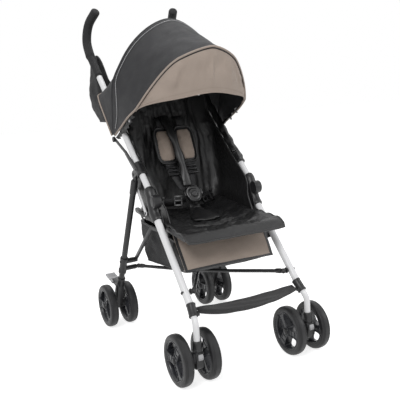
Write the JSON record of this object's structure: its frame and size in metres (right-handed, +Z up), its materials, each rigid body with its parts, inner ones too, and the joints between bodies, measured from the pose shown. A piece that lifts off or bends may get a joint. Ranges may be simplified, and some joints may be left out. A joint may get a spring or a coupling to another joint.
{
  "type": "convenience stroller",
  "caption": "Umbrella-fold stroller: white tube side frames, black rear legs, twin wheels with swivel casters, sling seat, visor canopy and basket.",
  "frame": {"origin": "centre of the footprint, on the floor under the tyres", "axes": "+Z up; the stroller faces -Y; +X is the right-hand side as seen by someone who faces it from the front"},
  "size_m": [0.483, 0.8234, 1.0802],
  "materials": {
    "beige_cloth": "woven polyester with fine grain",
    "black_cloth": "woven polyester, slight sheen",
    "black_tube": "satin black powder coat",
    "canopy_cloth": "woven polyester, matte",
    "grip_foam": "dense foam sleeve",
    "moulded_black": "fine moulded grain",
    "moulded_grey": "light grey moulded",
    "steel": "zinc plated",
    "tyre": "moulded foam tyre on a dark rim",
    "webbing": "woven strap",
    "white_tube": "gloss white powder coat"
  },
  "bodies": {
    "seat": {"seat_cover": "black_cloth", "storage_basket": "black_cloth", "canopy_rear_gore": "canopy_cloth", "rear_pocket": "black_cloth", "footrest_strap": "webbing", "calf_panel": "beige_cloth", "harness": "webbing", "buckle": "moulded_black"},
    "backrest": {"back_cover": "black_cloth", "shoulder_pad_left": "beige_cloth", "shoulder_pad_right": "beige_cloth"},
    "release_button": {"buckle_button": "moulded_grey"},
    "canopy": {"canopy_front_gore": "canopy_cloth", "canopy_visor": "beige_cloth"},
    "frame_left": {"front_leg_left": "white_tube", "upper_tube_left": "white_tube", "handle_grip_left": "grip_foam", "side_housing_left": "moulded_black", "leg_clamp_left": "moulded_black", "strap_collar_left": "moulded_black", "brace_bolt_left": "moulded_black", "caster_socket_left": "moulded_black"},
    "rear_leg_left": {"rear_leg_left": "black_tube", "rear_housing_left": "moulded_black", "axle_rear_left": "steel"},
    "caster_left": {"caster_fork_left": "moulded_black", "axle_front_left": "steel"},
    "swivel_lock_left": {"swivel_lock_left": "moulded_grey"},
    "brake_left": {"brake_pedal_left": "moulded_grey"},
    "seat_rail_left": {"seat_rail_left": "black_tube"},
    "side_strut_left": {"side_strut_left": "black_tube"},
    "lock_link_left": {"lock_link_left": "white_tube"},
    "lower_brace_left": {"lower_brace_left": "black_tube"},
    "wheel_front_left_outer": {"wheel_front_left_outer": "tyre"},
    "wheel_front_left_inner": {"wheel_front_left_inner": "tyre"},
    "wheel_rear_left_outer": {"wheel_rear_left_outer": "tyre"},
    "wheel_rear_left_inner": {"wheel_rear_left_inner": "tyre"},
    "frame_right": {"front_leg_right": "white_tube", "upper_tube_right": "white_tube", "handle_grip_right": "grip_foam", "side_housing_right": "moulded_black", "leg_clamp_right": "moulded_black", "strap_collar_right": "moulded_black", "brace_bolt_right": "moulded_black", "caster_socket_right": "moulded_black"},
    "rear_leg_right": {"rear_leg_right": "black_tube", "rear_housing_right": "moulded_black", "axle_rear_right": "steel"},
    "caster_right": {"caster_fork_right": "moulded_black", "axle_front_right": "steel"},
    "swivel_lock_right": {"swivel_lock_right": "moulded_grey"},
    "brake_right": {"brake_pedal_right": "moulded_grey"},
    "seat_rail_right": {"seat_rail_right": "black_tube"},
    "side_strut_right": {"side_strut_right": "black_tube"},
    "lock_link_right": {"lock_link_right": "white_tube"},
    "lower_brace_right": {"lower_brace_right": "black_tube"},
    "wheel_front_right_outer": {"wheel_front_right_outer": "tyre"},
    "wheel_front_right_inner": {"wheel_front_right_inner": "tyre"},
    "wheel_rear_right_outer": {"wheel_rear_right_outer": "tyre"},
    "wheel_rear_right_inner": {"wheel_rear_right_inner": "tyre"}
  },
  "joints": [
    {"name": "fold", "type": "slide", "parent": "seat", "child": "frame_left", "axis": [1, 0, 0], "range_m": [0, 0.105], "deforming": ["seat_cover", "storage_basket", "canopy_rear_gore", "rear_pocket", "footrest_strap", "calf_panel", "harness", "back_cover", "shoulder_pad_left", "shoulder_pad_right", "canopy_front_gore", "canopy_visor"]},
    {"name": "frame_right_slide", "type": "slide", "parent": "seat", "child": "frame_right", "axis": [-1, 0, 0], "range_m": [0, 0.105]},
    {"name": "rear_leg_left_hinge", "type": "hinge", "parent": "frame_left", "child": "rear_leg_left", "pos_m": [-0.172, -0.00325, 0.545], "axis": [-1, 0, 0], "range_deg": [0, 45]},
    {"name": "seat_rail_left_hinge", "type": "hinge", "parent": "frame_left", "child": "seat_rail_left", "pos_m": [-0.15, -0.15425, 0.4], "axis": [1, 0, 0], "range_deg": [0, 38]},
    {"name": "side_strut_left_hinge", "type": "hinge", "parent": "rear_leg_left", "child": "side_strut_left", "pos_m": [-0.138, 0.14651, 0.23998], "axis": [-1, 0, 0], "range_deg": [0, 28]},
    {"name": "lock_link_left_hinge", "type": "hinge", "parent": "rear_leg_left", "child": "lock_link_left", "pos_m": [-0.16, 0.02209, 0.49339], "axis": [1, 0, 0], "range_deg": [0, 58]},
    {"name": "lower_brace_left_hinge", "type": "hinge", "parent": "frame_left", "child": "lower_brace_left", "pos_m": [-0.1485, -0.30904, 0.24564], "axis": [0.7567, -0.4033, 0.5145], "range_deg": [0, 36.88]},
    {"name": "caster_left_swivel", "type": "hinge", "parent": "frame_left", "child": "caster_left", "pos_m": [-0.182, -0.37425, 0.09], "axis": [0, 0, 1], "continuous": true},
    {"name": "swivel_lock_left_slide", "type": "slide", "parent": "caster_left", "child": "swivel_lock_left", "axis": [0, 0, 1], "range_m": [0, 0.003]},
    {"name": "wheel_front_left_outer_spin", "type": "hinge", "parent": "caster_left", "child": "wheel_front_left_outer", "pos_m": [-0.2235, -0.33925, 0.0725], "axis": [1, 0, 0], "continuous": true},
    {"name": "wheel_front_left_inner_spin", "type": "hinge", "parent": "caster_left", "child": "wheel_front_left_inner", "pos_m": [-0.1405, -0.33925, 0.0725], "axis": [1, 0, 0], "continuous": true},
    {"name": "wheel_rear_left_outer_spin", "type": "hinge", "parent": "rear_leg_left", "child": "wheel_rear_left_outer", "pos_m": [-0.2215, 0.22875, 0.0725], "axis": [1, 0, 0], "continuous": true},
    {"name": "wheel_rear_left_inner_spin", "type": "hinge", "parent": "rear_leg_left", "child": "wheel_rear_left_inner", "pos_m": [-0.1505, 0.22875, 0.0725], "axis": [1, 0, 0], "continuous": true},
    {"name": "brake_left_press", "type": "hinge", "parent": "rear_leg_left", "child": "brake_left", "pos_m": [-0.186, 0.22975, 0.1535], "axis": [-1, 0, 0], "range_deg": [0, 8]},
    {"name": "rear_leg_right_hinge", "type": "hinge", "parent": "frame_right", "child": "rear_leg_right", "pos_m": [0.172, -0.00325, 0.545], "axis": [-1, 0, 0], "range_deg": [0, 45]},
    {"name": "seat_rail_right_hinge", "type": "hinge", "parent": "frame_right", "child": "seat_rail_right", "pos_m": [0.15, -0.15425, 0.4], "axis": [1, 0, 0], "range_deg": [0, 38]},
    {"name": "side_strut_right_hinge", "type": "hinge", "parent": "rear_leg_right", "child": "side_strut_right", "pos_m": [0.138, 0.14651, 0.23998], "axis": [-1, 0, 0], "range_deg": [0, 28]},
    {"name": "lock_link_right_hinge", "type": "hinge", "parent": "rear_leg_right", "child": "lock_link_right", "pos_m": [0.16, 0.02209, 0.49339], "axis": [1, 0, 0], "range_deg": [0, 58]},
    {"name": "lower_brace_right_hinge", "type": "hinge", "parent": "frame_right", "child": "lower_brace_right", "pos_m": [0.1485, -0.30904, 0.24564], "axis": [0.7567, 0.4033, -0.5145], "range_deg": [0, 36.88]},
    {"name": "caster_right_swivel", "type": "hinge", "parent": "frame_right", "child": "caster_right", "pos_m": [0.182, -0.37425, 0.09], "axis": [0, 0, 1], "continuous": true},
    {"name": "swivel_lock_right_slide", "type": "slide", "parent": "caster_right", "child": "swivel_lock_right", "axis": [0, 0, 1], "range_m": [0, 0.003]},
    {"name": "wheel_front_right_outer_spin", "type": "hinge", "parent": "caster_right", "child": "wheel_front_right_outer", "pos_m": [0.2235, -0.33925, 0.0725], "axis": [1, 0, 0], "continuous": true},
    {"name": "wheel_front_right_inner_spin", "type": "hinge", "parent": "caster_right", "child": "wheel_front_right_inner", "pos_m": [0.1405, -0.33925, 0.0725], "axis": [1, 0, 0], "continuous": true},
    {"name": "wheel_rear_right_outer_spin", "type": "hinge", "parent": "rear_leg_right", "child": "wheel_rear_right_outer", "pos_m": [0.2215, 0.22875, 0.0725], "axis": [1, 0, 0], "continuous": true},
    {"name": "wheel_rear_right_inner_spin", "type": "hinge", "parent": "rear_leg_right", "child": "wheel_rear_right_inner", "pos_m": [0.1505, 0.22875, 0.0725], "axis": [1, 0, 0], "continuous": true},
    {"name": "brake_right_press", "type": "hinge", "parent": "rear_leg_right", "child": "brake_right", "pos_m": [0.186, 0.22975, 0.1535], "axis": [-1, 0, 0], "range_deg": [0, 8]},
    {"name": "recline", "type": "hinge", "parent": "seat", "child": "backrest", "pos_m": [0, 0.04675, 0.385], "axis": [-1, 0, 0], "range_deg": [0, 30]},
    {"name": "canopy_tilt", "type": "hinge", "parent": "seat", "child": "canopy", "pos_m": [0, 0.11775, 0.65], "axis": [-1, 0, 0], "range_deg": [0, 38]},
    {"name": "release_button_press", "type": "slide", "parent": "seat", "child": "release_button", "axis": [0, 0.8192, -0.5736], "range_m": [0, 0.0024], "stiffness_N_per_m": 400, "springref_m": -0.001}
  ],
  "couplings": [
    {"joint": "frame_right_slide", "follows": "fold", "ratio": 1},
    {"joint": "rear_leg_left_hinge", "follows": "fold", "rad_per_m": 7.48},
    {"joint": "seat_rail_left_hinge", "follows": "fold", "rad_per_m": 6.3164},
    {"joint": "side_strut_left_hinge", "follows": "fold", "rad_per_m": 4.6542},
    {"joint": "lock_link_left_hinge", "follows": "fold", "rad_per_m": 9.6409},
    {"joint": "lower_brace_left_hinge", "follows": "fold", "rad_per_m": 6.1303},
    {"joint": "rear_leg_right_hinge", "follows": "fold", "rad_per_m": 7.48},
    {"joint": "seat_rail_right_hinge", "follows": "fold", "rad_per_m": 6.3164},
    {"joint": "side_strut_right_hinge", "follows": "fold", "rad_per_m": 4.6542},
    {"joint": "lock_link_right_hinge", "follows": "fold", "rad_per_m": 9.6409},
    {"joint": "lower_brace_right_hinge", "follows": "fold", "rad_per_m": 6.1303}
  ]
}
